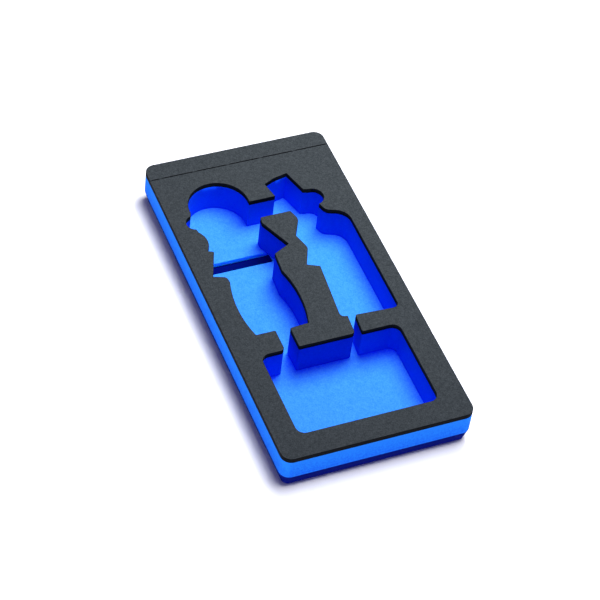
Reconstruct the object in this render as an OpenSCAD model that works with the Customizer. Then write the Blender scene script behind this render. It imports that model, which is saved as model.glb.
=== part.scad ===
// Two-tone foam inlay for a tool drawer.
// A black cover sheet, a blue wall block and a blue floor sheet are laminated. One winding pocket runs
// round a loose island: two trigger-bottle shapes, a bridge, two channels and a plain box at the front.
// +X runs across the drawer, +Y to the back of it, +Z up. The origin is the middle of the underside.

/* [Tray] */
// Width of the inlay
tray_w = 188; // [178:1:240]
// Length of the inlay, with its tear-off strip
tray_l = 384; // [350:1:460]
// Radius of the upright corners
corner_r = 10; // [10:1:20]

/* [Layers] */
// Thickness of the black cover sheet
cover_t = 5; // [2:0.5:8]
// Height of the blue wall block
wall_t = 30; // [20:1:60]
// Thickness of the blue floor sheet
floor_t = 5; // [3:0.5:8]

/* [Bottom bevel] */
// Height of the bevel round the bottom edge
bevel_h = 14; // [6:1:18]
// How far the bevel runs in at the bottom
bevel_in = 4; // [2:0.5:9.5]

/* [Tear-off strip] */
// Length of the strip beyond the score line
strip_l = 20.3; // [12:0.1:30]
// Width of the cut between the strip and the tray
slit_w = 0.6; // [0.2:0.1:0.9]
// Width of the uncut nibs along the score line
nib_w = 4.5; // [2:0.5:8]
// Distance from the left side to the first nib
nib_first = 11.5; // [8:0.5:30]
// Distance from one nib to the next
nib_pitch = 35; // [20:1:60]
// Uncut foam where the score line nears each side
edge_nib = 2.5; // [1:0.5:5]

/* [Rims] */
// Foam between the score line and the round head of the left pocket
back_rim = 20; // [10:0.5:40]
// Foam in front of the box pocket
front_rim = 25; // [10:1:40]
// Foam between the bottle pockets and the box pocket
cross_rim = 25; // [12:0.5:40]

/* [Left bottle pocket] */
// X of the left bottle's middle line
left_x = -39; // [-43:0.5:-38]
// Radius of the round head
head_r = 30; // [26:0.5:33]
// Radius of the finger dent beside the head
dent_r = 9; // [7:0.5:11]
// Radius of the foam swelling at the throat
throat_r = 20; // [14:0.5:22]
// Width of the barrel at its ends
barrel_w = 52.5; // [46:0.5:55]
// Radius of the barrel's bulging sides
barrel_r = 125; // [100:1:300]

/* [Right bottle pocket] */
// X of the right bottle's straight back
right_x = 77.4; // [74:0.2:82]
// Radius of the bottle's shoulder
shoulder_r = 16; // [6:0.5:18]
// Radius of the finger dent beside the nozzle
nozzle_dent_r = 10.7; // [9:0.1:13]

/* [Box pocket] */
// X of the box pocket's left wall
box_left_x = -70.5; // [-80:0.5:-60]
// X of the box pocket's right wall
box_right_x = 67.8; // [50:0.2:80]
// Radius of the box pocket's corners
box_r = 8.5; // [2:0.5:12]

/* [Ways between pockets] */
// Width of the bridge that joins the two heads
bridge_w = 22.8; // [16:0.2:26]
// Width of the left channel to the box pocket
left_way_w = 14; // [8:0.5:18]
// Width of the right channel to the box pocket
right_way_w = 7; // [5:0.5:12]
// Radius that eases the foam corners at the channels
ease_r = 1.6; // [0.4:0.2:3]
// Radius of the corners where the channels open into the box pocket
mouth_r = 4; // [1:0.5:6]

/* [Floor slot] */
// Length of the slot through the floor, across the left pocket
slot_l = 64; // [40:1:70]
// Width of the slot
slot_w = 13; // [6:0.5:18]
// X of the slot's left end
slot_left_x = -65; // [-66:0.5:-55]

/* [Hidden] */
$fn = 64;

// Heights of the layers
wall_z = floor_t;
cover_z = floor_t + wall_t;
tray_h = cover_z + cover_t;

// The score line, and the head of the left pocket that the bottle outlines are set out from
score_y = tray_l / 2 - strip_l;
head_top_y = score_y - back_rim;

// Bottle outlines are set out from the top of the head: down(d) is the Y that lies d before it
function down(d) = head_top_y - d;

// The feet of the two bottles, and the box pocket before them
foot_d = 197.2;
right_foot_d = foot_d + 6;
box_top_y = down(foot_d) - cross_rim;
box_front_y = -tray_l / 2 + front_rim;

// The island's place between the bottles
bridge_top_d = 34.1;
island_top_d = bridge_top_d + bridge_w;
right_way_x = right_x - 46.2;

// Outline points are [x, y, rounding]. An arc gives plain points with no rounding of their own.
function arc(c, r, from, to, steps) =
    [for (i = [0:steps]) let (a = from + (to - from) * i / steps) [c.x + r * cos(a), c.y + r * sin(a), 0]];

function flat(v) = [v.x, v.y];
function unit(v) = v / norm(v);

// The arc that rounds corner b between its neighbours a and c
function rounding(a, b, c, steps = 6) =
    let (p = unit(flat(a) - flat(b)), q = unit(flat(c) - flat(b)), half = acos(p * q) / 2)
    let (middle = flat(b) + unit(p + q) * b.z / sin(half))
    let (start = flat(b) + p * b.z / tan(half) - middle, from = atan2(start.y, start.x))
    let (turn = (180 - 2 * half) * sign(p.y * q.x - p.x * q.y))
    [for (i = [0:steps]) let (s = from + turn * i / steps) middle + b.z * [cos(s), sin(s)]];

function rounded(points) = let (n = len(points))
    [for (i = [0:n - 1]) each points[i].z > 0
        ? rounding(points[(i + n - 1) % n], points[i], points[(i + 1) % n])
        : [flat(points[i])]];

// Outer side of the winding pocket, counter-clockwise from the box pocket's front left corner
head_c = [left_x - 1.3, down(head_r)];
dent_c = [head_c.x - head_r, down(45.7)];
throat_c = [left_x - 48, down(71.6)];
nozzle_dent_c = [right_x - 25.1, down(45.2)];
barrel_top_d = 128.2;
barrel_half = asin((foot_d - barrel_top_d) / 2 / barrel_r);
barrel_mid_y = down((foot_d + barrel_top_d) / 2);
barrel_reach = barrel_r * cos(barrel_half) - barrel_w / 2;

box_side = [
    [box_left_x, box_front_y, box_r],
    [box_right_x, box_front_y, box_r],
    [box_right_x, box_top_y, box_r],
    [right_way_x, box_top_y, ease_r]];
right_bottle = concat(
    [[right_way_x + 1.8, down(right_foot_d - 2.5), ease_r], // foot, beside its channel
     [right_x, down(right_foot_d), 6],                // heel
     [right_x, down(72.4), shoulder_r],               // shoulder
     [right_x - 20, down(65.4), 9]],                  // neck
    arc(nozzle_dent_c, nozzle_dent_r, -79, 95, 14),   // finger dent
    [[right_x - 31, down(33), 0],                     // root of the nozzle
     [right_x - 38.6, down(7.6), 0.8],                // nozzle tip
     [right_x - 53.4, down(10.8), 25],                // crown of the nozzle
     [right_x - 64.6, down(15.9), 1.5],               // nozzle face
     [right_x - 60.5, down(bridge_top_d), 0.5]]);     // bridge
left_bottle = concat(
    [[head_c.x + head_r, down(bridge_top_d), 0.5]],   // bridge
    arc(head_c, head_r, 0, 184, 32),                  // round head
    arc(dent_c, dent_r, 100, 258, 12),                // finger dent
    arc(throat_c, throat_r, 40, -40, 10),             // swelling at the throat
    [[left_x - 27.2, down(86.9), 1.5],                // collar
     [left_x - 39.1, down(117.1), 0.8],               // end of the collar
     [left_x - 27, down(121.3), 4]],                  // shoulder
    arc([left_x + barrel_reach, barrel_mid_y], barrel_r, 180 - barrel_half, 180 + barrel_half, 10),
    [[left_x - left_way_w / 2, down(foot_d), ease_r]]);
pocket_outline = concat(box_side, right_bottle, left_bottle,
    [[left_x - left_way_w / 2, box_top_y, mouth_r],
     [box_left_x, box_top_y, box_r]]);

// Outline of the loose island, counter-clockwise from its front left corner
island_right_x = right_way_x - right_way_w;
island_outline = concat(
    [[left_x + left_way_w / 2, box_top_y, ease_r],
     [island_right_x, box_top_y, mouth_r],
     [island_right_x + 1.4, down(right_foot_d - 3.5), 0.6],
     [right_x - 58.4, down(right_foot_d - 3.9), 4.5], // foot of the right bottle
     [right_x - 52.7, down(133.3), 1.5],              // top of its grip
     [right_x - 64.3, down(128), 1.2],                // collar
     [right_x - 55.1, down(107.1), 8],                // trigger's end
     [right_x - 60.5, down(89.1), 4],                 // hollow of the trigger
     [right_x - 49.8, down(69.2), 10],                // neck
     [right_x - 53.7, down(island_top_d), 2],         // bridge, right end
     [left_x + 31, down(island_top_d), 2.5],          // bridge, left end
     [left_x + 30.5, down(64.7), 6],                  // left bottle's nozzle
     [left_x + 45.2, down(97.6), 1.2],                // its finger hollow
     [left_x + 27.8, down(105.7), 1.5]],              // shoulder
    arc([left_x - barrel_reach, barrel_mid_y], barrel_r, barrel_half, -barrel_half, 10),
    [[left_x + left_way_w / 2, down(foot_d + 1.3), ease_r]]);

// Slot through the floor, under the throat of the left bottle
slot_mid_y = down(78.8);

// Half of the tray's cross-section, from a middle line out to a side that lies reach away
module half_section(reach)
    polygon([[0, 0], [reach - bevel_in, 0], [reach, bevel_h], [reach, tray_h], [0, tray_h]]);

module full_section(width) {
    half_section(width / 2);
    mirror([1, 0]) half_section(width / 2);
}

// Uncut tray with upright sides, rounded corners and the bevel round its bottom edge
module tray_blank() {
    straight_w = tray_w - 2 * corner_r;
    straight_l = tray_l - 2 * corner_r;
    translate([0, straight_l / 2, 0]) rotate([90, 0, 0]) linear_extrude(straight_l) full_section(tray_w);
    translate([-straight_w / 2, 0, 0]) rotate([90, 0, 90]) linear_extrude(straight_w) full_section(tray_l);
    for (x = [-1, 1], y = [-1, 1])
        translate([x * straight_w / 2, y * straight_l / 2, 0]) rotate_extrude() half_section(corner_r);
}

// What lies between two heights of the tray, inside a plan drawn as the child
module layer(z, thickness) intersection() {
    tray_blank();
    translate([0, 0, z]) linear_extrude(thickness) children();
}

// Plan of everything before the score line
module tray_plan()
    translate([-tray_w, -tray_l]) square([2 * tray_w, tray_l + score_y - slit_w / 2]);

// Plan of the tear-off strip, with the nibs that still hold it
module strip_plan() {
    translate([-tray_w, score_y + slit_w / 2]) square([2 * tray_w, strip_l * 2]);
    for (side = [-1, 1])
        translate([side * tray_w / 2 - edge_nib, score_y - slit_w / 2]) square([2 * edge_nib, slit_w + 1]);
    for (x = [nib_first - tray_w / 2 : nib_pitch : tray_w / 2 - edge_nib - nib_w])
        translate([x - nib_w / 2, score_y - slit_w / 2]) square([nib_w, slit_w + 1]);
}

module frame_plan() difference() {
    tray_plan();
    polygon(rounded(pocket_outline));
}

module island_plan() polygon(rounded(island_outline));

module slotted_plan() difference() {
    tray_plan();
    translate([slot_left_x, slot_mid_y - slot_w / 2]) square([slot_l, slot_w]);
}

module cover_sheet() color([0.25, 0.27, 0.3]) layer(cover_z, cover_t) frame_plan();
module wall_block() color([0.16, 0.47, 0.97]) layer(wall_z, wall_t) frame_plan();
module floor_sheet() color([0.27, 0.64, 1]) layer(0, floor_t) slotted_plan();
module island_cap() color([0.25, 0.27, 0.3]) layer(cover_z, cover_t) island_plan();
module island_block() color([0.16, 0.47, 0.97]) layer(wall_z, wall_t) island_plan();
module strip_cover() color([0.25, 0.27, 0.3]) layer(cover_z, cover_t) strip_plan();
module strip_wall() color([0.16, 0.47, 0.97]) layer(wall_z, wall_t) strip_plan();
module strip_floor() color([0.27, 0.64, 1]) layer(0, floor_t) strip_plan();

cover_sheet();
wall_block();
floor_sheet();
island_cap();
island_block();
strip_cover();
strip_wall();
strip_floor();
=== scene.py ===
# %% [markdown]
# A foam inlay for a tool drawer
#
# The object is a flat block of closed-cell foam, 188 by 384 mm and 40 mm high. A black sheet lies on
# blue foam, and deep pockets are cut down through both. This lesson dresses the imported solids: it
# softens their cut edges, gives each foam its own finish, and sets the light and the camera of a
# studio picture.

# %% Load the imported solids
import math

import bpy
from mathutils import Matrix, Vector


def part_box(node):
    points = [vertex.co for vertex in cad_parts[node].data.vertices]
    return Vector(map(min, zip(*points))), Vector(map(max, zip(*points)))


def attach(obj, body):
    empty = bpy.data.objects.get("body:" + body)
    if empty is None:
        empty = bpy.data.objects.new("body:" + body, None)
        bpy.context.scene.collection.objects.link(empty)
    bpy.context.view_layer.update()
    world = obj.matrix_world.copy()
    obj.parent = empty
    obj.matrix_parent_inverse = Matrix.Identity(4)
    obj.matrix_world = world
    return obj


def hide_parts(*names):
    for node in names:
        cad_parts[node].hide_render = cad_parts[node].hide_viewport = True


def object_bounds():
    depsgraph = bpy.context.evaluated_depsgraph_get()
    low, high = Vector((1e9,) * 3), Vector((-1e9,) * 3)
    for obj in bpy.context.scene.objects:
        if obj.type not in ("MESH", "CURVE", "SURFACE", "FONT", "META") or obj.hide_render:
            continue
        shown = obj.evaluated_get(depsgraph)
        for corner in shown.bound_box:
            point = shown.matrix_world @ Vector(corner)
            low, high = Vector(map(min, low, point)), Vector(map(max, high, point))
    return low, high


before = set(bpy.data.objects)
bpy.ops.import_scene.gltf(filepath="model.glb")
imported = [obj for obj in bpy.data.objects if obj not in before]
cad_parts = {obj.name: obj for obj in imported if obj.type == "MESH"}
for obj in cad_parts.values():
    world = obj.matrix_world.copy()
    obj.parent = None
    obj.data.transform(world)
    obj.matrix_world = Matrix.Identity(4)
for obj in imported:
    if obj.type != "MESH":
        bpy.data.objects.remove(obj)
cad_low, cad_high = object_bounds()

MM = 0.001
print("solids:", ", ".join(sorted(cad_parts)))
print("box in mm:", [round(side / MM, 1) for side in cad_high - cad_low])

# %% [markdown]
# The camera first
#
# A camera that matches a photograph is worth setting before any piece is dressed, because every
# choice of colour and light is judged through it. A long lens far away gives the weak perspective of
# a catalogue picture. The camera looks down over the inlay's front left corner and is rolled a
# little about its own axis.

# %% Place the camera
CAMERA_PLACE = Vector((-683.7, -1323.5, 1647.3)) * MM
CAMERA_AIM = Vector((-1.8, -0.6, 20.0)) * MM
CAMERA_ROLL = math.radians(7.75)
LENS_MM = 139.3
SENSOR_MM = 36.0
FARTHEST_SEEN = 50.0

bpy.ops.object.camera_add(location=CAMERA_PLACE)
camera = bpy.context.object
camera.name = "catalogue_camera"
aim = (CAMERA_AIM - CAMERA_PLACE).to_track_quat("-Z", "Y").to_matrix()
camera.rotation_euler = (aim @ Matrix.Rotation(CAMERA_ROLL, 3, "Z")).to_euler()
camera.data.lens = LENS_MM
camera.data.sensor_width = SENSOR_MM
camera.data.clip_end = FARTHEST_SEEN
bpy.context.scene.camera = camera
print("camera is", round((CAMERA_AIM - CAMERA_PLACE).length, 2), "m from the inlay")

# %% [markdown]
# Foam with soft cut edges
#
# Foam is cut by a blade or a fine jet of water, and its edges never come out razor sharp: they
# crumble and round off by a few tenths of a millimetre. The solids have the true outline, so each
# piece starts as a copy of its solid. The copy's loose triangles are merged and the flat areas
# dissolved into plain faces, and then a Bevel modifier rounds every sharp edge. The rounding is
# smaller than the tightest corner of the outline, so that it can't fold over itself there. Smooth
# shading would now bend the light on the large flat faces too, so a Weighted Normal modifier gives
# those faces back their own direction.

# %% A helper that copies a solid
MERGE_DISTANCE = 0.005 * MM
FLAT_ANGLE = math.radians(0.5)


def pick(piece):
    """Makes one object the only selected one, and the active one."""
    bpy.ops.object.select_all(action="DESELECT")
    piece.select_set(True)
    bpy.context.view_layer.objects.active = piece


def foam_copy(node, name):
    """A copy of a solid as one closed mesh of plain faces, with nothing of the frame left on it."""
    pick(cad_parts[node])
    bpy.ops.object.duplicate()
    piece = bpy.context.object
    piece.name = name
    piece.data.name = name
    piece.data.materials.clear()
    for label in list(piece.keys()):
        del piece[label]
    bpy.ops.object.mode_set(mode="EDIT")
    bpy.ops.mesh.select_all(action="SELECT")
    bpy.ops.mesh.remove_doubles(threshold=MERGE_DISTANCE)
    bpy.ops.mesh.dissolve_limited(angle_limit=FLAT_ANGLE)
    bpy.ops.object.mode_set(mode="OBJECT")
    return piece


# %% A helper that rounds the cut edges
EDGE_ROUND = 0.3 * MM
EDGE_STEPS = 2
SHARP_ANGLE = math.radians(40)
SMOOTH_ANGLE = math.radians(35)
FLAT_FACE_WEIGHT = 100


def round_edges(piece):
    """Rounds the sharp edges and shades the curved walls smooth."""
    pick(piece)
    bevel = piece.modifiers.new("soft edge", "BEVEL")
    bevel.width = EDGE_ROUND
    bevel.segments = EDGE_STEPS
    bevel.limit_method = "ANGLE"
    bevel.angle_limit = SHARP_ANGLE
    bevel.use_clamp_overlap = False
    bpy.ops.object.modifier_apply(modifier=bevel.name)
    bpy.ops.object.shade_smooth_by_angle(angle=SMOOTH_ANGLE)
    even = piece.modifiers.new("even shading", "WEIGHTED_NORMAL")
    even.weight = FLAT_FACE_WEIGHT
    even.keep_sharp = True
    bpy.ops.object.modifier_apply(modifier=even.name)
    return piece


# %% Make the eight pieces
PIECES = {
    "cover_sheet": "black_cover",
    "island_cap": "black_island_cap",
    "strip_cover": "black_strip_cover",
    "wall_block": "blue_walls",
    "island_block": "blue_island",
    "strip_wall": "blue_strip",
    "floor_sheet": "pocket_floor",
    "strip_floor": "strip_underside",
}

pieces = {}
for node, name in PIECES.items():
    piece = round_edges(foam_copy(node, name))
    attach(piece, "root")
    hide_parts(node)
    pieces[node] = piece
    print(name, len(piece.data.polygons), "faces")

# %% [markdown]
# Finishes
#
# Closed-cell foam is a mass of tiny bubbles. Its skin is matt and faintly pebbled, and a cut through
# it opens the bubbles, so a cut face is rougher and a little darker. The pocket walls, the island
# and the black cut edges are darker still, and that is painted shade. A picture of foam would have
# to be unwrapped onto every piece. Noise in Object coordinates runs through a piece as bubbles do
# and needs no unwrapping, so one function makes every finish from its two colours. A Voronoi texture
# gives the bubbles and a noise texture the uneven dye. Both feed the colour, and the bubbles feed
# the bump too.
#
# Two more arguments serve single places. The outer sides are darker towards the bottom and paler
# towards the top, which is painted shade that a map of the height adds to the noise. Light soaks
# into the thin floor sheet and comes out at the slot's edge, so that edge gets subsurface
# scattering, in which blue reaches furthest. That edge's paler blue is painted light.

# %% A helper that mixes bubbles and dye
DYE_SCALE = 0.4
DYE_DETAIL = 6.0
DYE_ROUGHNESS = 0.7
BUBBLE_SHARE = 0.5


def bubbles_and_dye(nodes, link, place, cell):
    """Two sockets: how far a point is from the middle of its bubble, and that mixed with the dye."""
    bubbles = nodes.new("ShaderNodeTexVoronoi")
    bubbles.inputs["Scale"].default_value = 1 / cell
    dye = nodes.new("ShaderNodeTexNoise")
    dye.inputs["Scale"].default_value = DYE_SCALE / cell
    dye.inputs["Detail"].default_value = DYE_DETAIL
    dye.inputs["Roughness"].default_value = DYE_ROUGHNESS
    for texture in (bubbles, dye):
        link(place.outputs["Object"], texture.inputs["Vector"])

    mix = nodes.new("ShaderNodeMath")
    mix.operation = "MULTIPLY_ADD"
    mix.inputs[1].default_value = BUBBLE_SHARE
    link(bubbles.outputs["Distance"], mix.inputs[0])
    link(dye.outputs["Fac"], mix.inputs[2])
    return bubbles.outputs["Distance"], mix.outputs["Value"]


# %% A helper that paints shade towards the bottom of a finish
def paint_shade_downwards(nodes, link, place, noise, painted_shade_rise):
    """Painted shade: the noise, lowered at the bottom of the inlay and raised at its top by the
    given amount.
    """
    height = nodes.new("ShaderNodeSeparateXYZ")
    link(place.outputs["Object"], height.inputs["Vector"])
    slope = nodes.new("ShaderNodeMapRange")
    slope.inputs["From Max"].default_value = cad_high.z
    slope.inputs["To Min"].default_value = -painted_shade_rise
    slope.inputs["To Max"].default_value = painted_shade_rise
    link(height.outputs["Z"], slope.inputs["Value"])
    total = nodes.new("ShaderNodeMath")
    link(noise, total.inputs[0])
    link(slope.outputs["Result"], total.inputs[1])
    return total.outputs["Value"]


# %% A function that makes a foam finish
FOAM_ROUGHNESS = 0.85
FOAM_SHINE = 0.05
GLOW_REACH = 10 * MM
GLOW_COLOURS = (0.1, 0.4, 1.0)
NOISE_MIDDLE = 0.75
PIT_DEPTH = 0.1 * MM


def linear(red, green, blue):
    """A screen colour, 0 to 255, as the linear colour that shaders take, by the sRGB rule."""
    def one(value):
        value /= 255
        return value / 12.92 if value <= 0.04045 else ((value + 0.055) / 1.055) ** 2.4
    return (one(red), one(green), one(blue), 1.0)


def foam_finish(name, dark, pale, cell=1.2 * MM, grain=0.4, pit=0.6, glow=0.0, painted_shade_rise=0.0):
    """Foam in two screen colours, with bubbles as wide as cell. grain is how far the noise runs from
    the middle to dark or pale, pit how deep the bubbles look, glow how much light soaks in, and the
    last argument how far painted shade darkens the colour towards the bottom and pales it towards
    the top. The defaults are those of a cut face."""
    finish = bpy.data.materials.new(name)
    finish.use_nodes = True
    nodes = finish.node_tree.nodes
    link = finish.node_tree.links.new
    shader = nodes["Principled BSDF"]
    shader.inputs["Roughness"].default_value = FOAM_ROUGHNESS
    shader.inputs["Specular IOR Level"].default_value = FOAM_SHINE
    shader.inputs["Subsurface Weight"].default_value = glow
    shader.inputs["Subsurface Radius"].default_value = GLOW_COLOURS
    shader.inputs["Subsurface Scale"].default_value = GLOW_REACH

    place = nodes.new("ShaderNodeTexCoord")
    bubbles, noise = bubbles_and_dye(nodes, link, place, cell)
    ramp = nodes.new("ShaderNodeValToRGB")
    dark_end, pale_end = ramp.color_ramp.elements
    dark_end.position = NOISE_MIDDLE - grain
    dark_end.color = linear(*dark)
    pale_end.position = NOISE_MIDDLE + grain
    pale_end.color = linear(*pale)
    link(paint_shade_downwards(nodes, link, place, noise, painted_shade_rise), ramp.inputs["Fac"])
    link(ramp.outputs["Color"], shader.inputs["Base Color"])

    bump = nodes.new("ShaderNodeBump")
    bump.inputs["Strength"].default_value = pit
    bump.inputs["Distance"].default_value = PIT_DEPTH
    link(bubbles, bump.inputs["Height"])
    link(bump.outputs["Normal"], shader.inputs["Normal"])
    print(name, "runs from", dark, "to", pale)
    return finish


# %% Mix the eight foams
SKIN = {"grain": 0.3, "pit": 0.5}

black_skin = foam_finish("black skin", (49, 55, 57), (77, 83, 85), **SKIN)
# Partly real and partly painted shade: a cut makes black foam a little darker, and the rest of this
# near-black is the shade the edges stand in.
black_cut_painted_shade = foam_finish("black cut edge in painted shade", (6, 8, 13), (12, 14, 18), grain=0.35)
# Painted shade: the last argument darkens the outer sides towards the bottom and pales them towards
# the top.
blue_side = foam_finish("blue outer side", (14, 85, 238), (35, 131, 250), painted_shade_rise=0.4)
# Painted shade: this navy stands for the deep shade under the bottom edge and inside the slit.
navy_painted_shade = foam_finish("navy underside in painted shade", (0, 10, 89), (1, 15, 110))
# Painted light: the floor sheet's cut faces are paler than the other cut faces, so the shaded slot
# edge looks lit. Its glow is subsurface scattering.
blue_slot_painted_light = foam_finish("blue slot edge with painted light", (26, 144, 255), (43, 172, 255), glow=1.0)
# Painted shade: the pocket walls are a deeper blue than the outer sides, and the island wall is
# deeper still, for the shade in the pockets.
blue_wall_painted_shade = foam_finish("blue pocket wall in painted shade", (10, 79, 246), (17, 97, 250))
blue_island = foam_finish("blue island wall in painted shade", (7, 60, 218), (12, 78, 230))
blue_floor = foam_finish("blue pocket floor", (58, 160, 254), (86, 191, 255), cell=1.4 * MM, **SKIN)

# %% [markdown]
# Which face wears what
#
# A piece of foam has a skin where it was moulded and bare bubbles where it was cut, so one piece can
# wear two or three finishes. Faces are told apart by their direction and by how near they lie to the
# outer side. The pocket walls, the island and the black cut edges wear colours darker than a cut
# alone gives, and that is painted shade. The undercut along the bottom edge lies in deep shade on
# the real inlay, and its navy is painted shade, as is the navy on the end of the floor sheet inside
# the slit. Each piece has a list of finishes with a test for each, and a face wears the first one
# whose test it passes.

# %% Tests that tell the faces apart
UPWARD = 0.95
DOWNWARD = -0.08
RIM = 12 * MM
SLIT_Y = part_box("strip_floor")[0].y
SLIT_REACH = 1.5 * MM


def faces_up(face):
    return face.normal.z > UPWARD


def is_outer(face):
    return abs(face.center.x) > cad_high.x - RIM or abs(face.center.y) > cad_high.y - RIM


def leans_under(face):
    return is_outer(face) and face.normal.z < DOWNWARD


def lines_slit(face):
    return abs(face.center.y - SLIT_Y) < SLIT_REACH


def any_face(face):
    return True


print("slit between tray and strip at y =", round(SLIT_Y / MM, 1), "mm")


# %% Put the finishes on
def wear(node, *choices):
    """Each choice is a finish and a test. A face wears the first finish whose test it passes."""
    mesh = pieces[node].data
    for finish, _ in choices:
        mesh.materials.append(finish)
    for face in mesh.polygons:
        face.material_index = next(i for i, (_, passes) in enumerate(choices) if passes(face))
    print(pieces[node].name, "wears", ", ".join(finish.name for finish in mesh.materials))


for node in ("cover_sheet", "island_cap", "strip_cover"):
    wear(node, (black_skin, faces_up), (black_cut_painted_shade, any_face))
for node in ("wall_block", "strip_wall"):
    wear(node, (navy_painted_shade, leans_under), (blue_side, is_outer), (blue_wall_painted_shade, any_face))
wear("island_block", (blue_island, any_face))
for node in ("floor_sheet", "strip_floor"):
    wear(node, (blue_floor, faces_up), (navy_painted_shade, is_outer), (navy_painted_shade, lines_slit),
         (blue_slot_painted_light, any_face))

# %% [markdown]
# The stage
#
# A wide sheet of white paper carries the inlay. The background has to be white, but paper that
# bright would throw too much light back at the foam. The Light Path node settles it: rays that are
# seen or mirrored find white paper, and all other rays find a greyer one. The slot through the
# pocket floor would show the paper too, so a dark card lies under it as painted shade, for the deep
# shade under the slot. The card is dark to the eye only: other rays find it pale blue, and carry
# light up to the slot's far edge.

# %% Helpers for the stage
def lay_sheet(name, middle, width, length):
    """A flat stage sheet on the ground, with its node tree and its plain diffuse shader."""
    bpy.ops.object.select_all(action="DESELECT")
    bpy.ops.mesh.primitive_plane_add(size=1, location=middle)
    sheet = bpy.context.object
    sheet.name = name
    bpy.ops.transform.resize(value=(width, length, 1))
    bpy.ops.object.transform_apply(location=True, rotation=True, scale=True)
    surface = bpy.data.materials.new(name)
    surface.use_nodes = True
    tree = surface.node_tree
    tree.nodes.clear()
    diffuse = tree.nodes.new("ShaderNodeBsdfDiffuse")
    output = tree.nodes.new("ShaderNodeOutputMaterial")
    tree.links.new(diffuse.outputs["BSDF"], output.inputs["Surface"])
    sheet.data.materials.append(surface)
    return sheet, tree, diffuse


def when_seen(tree, unseen, seen):
    """A socket with one value for rays that are seen or mirrored, and another for all other rays."""
    rays = tree.nodes.new("ShaderNodeLightPath")
    either = rays.outputs["Is Camera Ray"]
    for kind in ("Is Glossy Ray", "Is Transmission Ray"):
        highest = tree.nodes.new("ShaderNodeMath")
        highest.operation = "MAXIMUM"
        tree.links.new(either, highest.inputs[0])
        tree.links.new(rays.outputs[kind], highest.inputs[1])
        either = highest.outputs["Value"]
    switch = tree.nodes.new("ShaderNodeMapRange")
    switch.inputs["To Min"].default_value = unseen
    switch.inputs["To Max"].default_value = seen
    tree.links.new(either, switch.inputs["Value"])
    return switch.outputs["Result"]


# %% Lay the paper
PAPER_SIZE = 12.0
PAPER_DROP = 0.1 * MM
PAPER_WHITE = 0.58
PAPER_SEEN = 1.0

paper, tree, diffuse = lay_sheet("white_paper", (0, 0, -PAPER_DROP), PAPER_SIZE, PAPER_SIZE)
tree.links.new(when_seen(tree, PAPER_WHITE, PAPER_SEEN), diffuse.inputs["Color"])
print(paper.name, "is", PAPER_SIZE, "m wide")

# %% Lay the card under the slot
CARD_MIDDLE = Vector((-33.0, 73.0, -0.05)) * MM
CARD_SIZE = (70 * MM, 24 * MM)
CARD_UNSEEN = (180, 190, 255)
# Painted shade: the dark navy that the card shows to the eye.
CARD_PAINTED_SHADE = (3, 17, 108)

card, tree, diffuse = lay_sheet("painted_shade_card", CARD_MIDDLE, *CARD_SIZE)
tones = tree.nodes.new("ShaderNodeValToRGB")
tones.color_ramp.elements[0].color = linear(*CARD_UNSEEN)
tones.color_ramp.elements[1].color = linear(*CARD_PAINTED_SHADE)
tree.links.new(when_seen(tree, 0.0, 1.0), tones.inputs["Fac"])
tree.links.new(tones.outputs["Color"], diffuse.inputs["Color"])
print(card.name, "is", [round(side / MM) for side in CARD_SIZE], "mm")

# %% [markdown]
# The light
#
# One large soft lamp hangs above, behind and to the right, so the pockets' right and back walls fall
# in shade. Its width sets how far that shade reaches over the pocket floor and how softly it ends.
# The lamp hardly reaches the upright outer sides, so a far lamp stands almost level with the ground
# on each side. Their light skims over the pockets and leaves them alone. One more lamp lights the
# paper only, by light linking, and keeps the shadow short, as in a catalogue picture. Light that
# soaks into blue foam comes out again in the shade beside it, so a weak blue lamp without shadows
# does the same for the pocket floors only. A weak bluish sky fills the corners, where blue walls
# face each other. To the eye the sky is white, as the paper is.

# %% Helpers that hang a lamp
INLAY = Vector((0, 0, 0))


def hang_lamp(kind, name, place):
    """A lamp that shines from its place to the inlay."""
    bpy.ops.object.light_add(type=kind, location=place)
    lamp = bpy.context.object
    lamp.name = name
    lamp.rotation_euler = (INLAY - lamp.location).to_track_quat("-Z", "Y").to_euler()
    return lamp


def hang_sun(name, place, level):
    """A far lamp. At level 1, white paper that faces it looks just white."""
    sun = hang_lamp("SUN", name, place)
    sun.data.energy = level * math.pi
    return sun


def light_only(lamp, target, name):
    """Links a lamp to one object, so that its light falls on nothing else."""
    only = bpy.data.collections.new(name)
    only.objects.link(target)
    lamp.light_linking.receiver_collection = only
    print(lamp.name, "lights", target.name, "only")


# %% Hang the lamp over the inlay
KEY_PLACE = Vector((0.21, 0.19, 0.7))
KEY_WIDTH = 0.38
KEY_DEPTH = 0.63
KEY_POWER = 5.8

key = hang_lamp("AREA", "overhead_lamp", KEY_PLACE)
key.data.shape = "ELLIPSE"
key.data.size = KEY_WIDTH
key.data.size_y = KEY_DEPTH
key.data.energy = KEY_POWER
print(key.name, "gives", KEY_POWER, "W from", round(KEY_PLACE.length, 2), "m")

# %% Stand four far lamps around it
SIDE_COUNT = 4
SIDE_DISTANCE = 3
SIDE_LEVEL = 0.48
SIDE_RISE = math.radians(1.5)
SIDE_ANGLE = math.radians(1)

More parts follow.
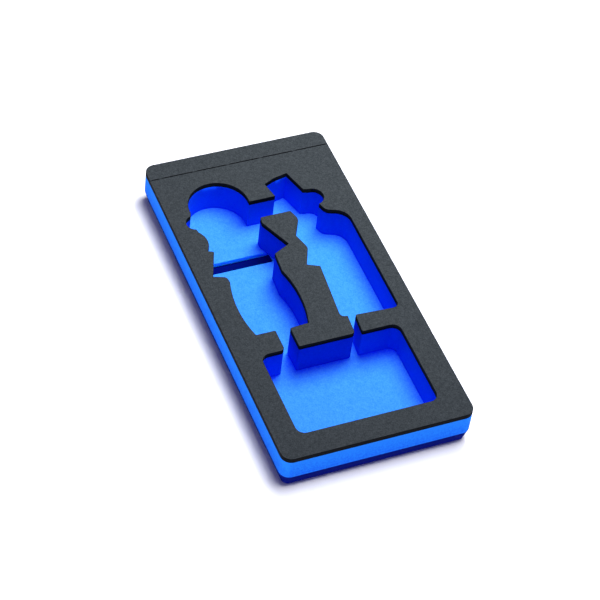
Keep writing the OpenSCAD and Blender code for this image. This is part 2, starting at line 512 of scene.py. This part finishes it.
for number in range(SIDE_COUNT):
    turn = math.radians(360 / SIDE_COUNT * number)
    away = Vector((math.cos(turn), math.sin(turn), math.tan(SIDE_RISE)))
    side = hang_sun(f"side_lamp_{number + 1}", away * SIDE_DISTANCE, SIDE_LEVEL)
    side.data.angle = SIDE_ANGLE
print(SIDE_COUNT, "side lamps,", round(math.degrees(SIDE_RISE), 1), "degrees above the ground")

# %% Light the paper
PAPER_LAMP_PLACE = Vector((0.21, 0.0, 1.0))
PAPER_LAMP_LEVEL = 0.9
PAPER_LAMP_ANGLE = math.radians(28)

paper_lamp = hang_sun("paper_lamp", PAPER_LAMP_PLACE, PAPER_LAMP_LEVEL)
paper_lamp.data.angle = PAPER_LAMP_ANGLE
light_only(paper_lamp, paper, "paper only")

# %% Let the pocket floors glow blue
FLOOR_LAMP_PLACE = Vector((0.0, -1.0, 1.0))
FLOOR_LAMP_LEVEL = 0.45
FLOOR_LAMP_COLOUR = (0.0, 0.0, 1.0)

floor_lamp = hang_sun("floor_lamp", FLOOR_LAMP_PLACE, FLOOR_LAMP_LEVEL)
floor_lamp.data.color = FLOOR_LAMP_COLOUR
floor_lamp.data.use_shadow = False
light_only(floor_lamp, pieces["floor_sheet"], "floors only")

# %% Fill the shade with a weak sky
SKY = (0.09, 0.09, 0.2, 1.0)
SKY_SEEN = (1.0, 1.0, 1.0, 1.0)

world = bpy.data.worlds.new("studio")
bpy.context.scene.world = world
world.use_nodes = True
tree = world.node_tree
fill = tree.nodes["Background"]
fill.inputs["Color"].default_value = SKY
white = tree.nodes.new("ShaderNodeBackground")
white.inputs["Color"].default_value = SKY_SEEN
choice = tree.nodes.new("ShaderNodeMixShader")
tree.links.new(when_seen(tree, 0.0, 1.0), choice.inputs["Fac"])
tree.links.new(fill.outputs["Background"], choice.inputs[1])
tree.links.new(white.outputs["Background"], choice.inputs[2])
tree.links.new(choice.outputs["Shader"], tree.nodes["World Output"].inputs["Surface"])

# %% [markdown]
# The view transform
#
# A finish must not change the size of a part. The last cell sets the view transform.

# %% Finish: set the view transform
bpy.context.scene.view_settings.view_transform = "Standard"
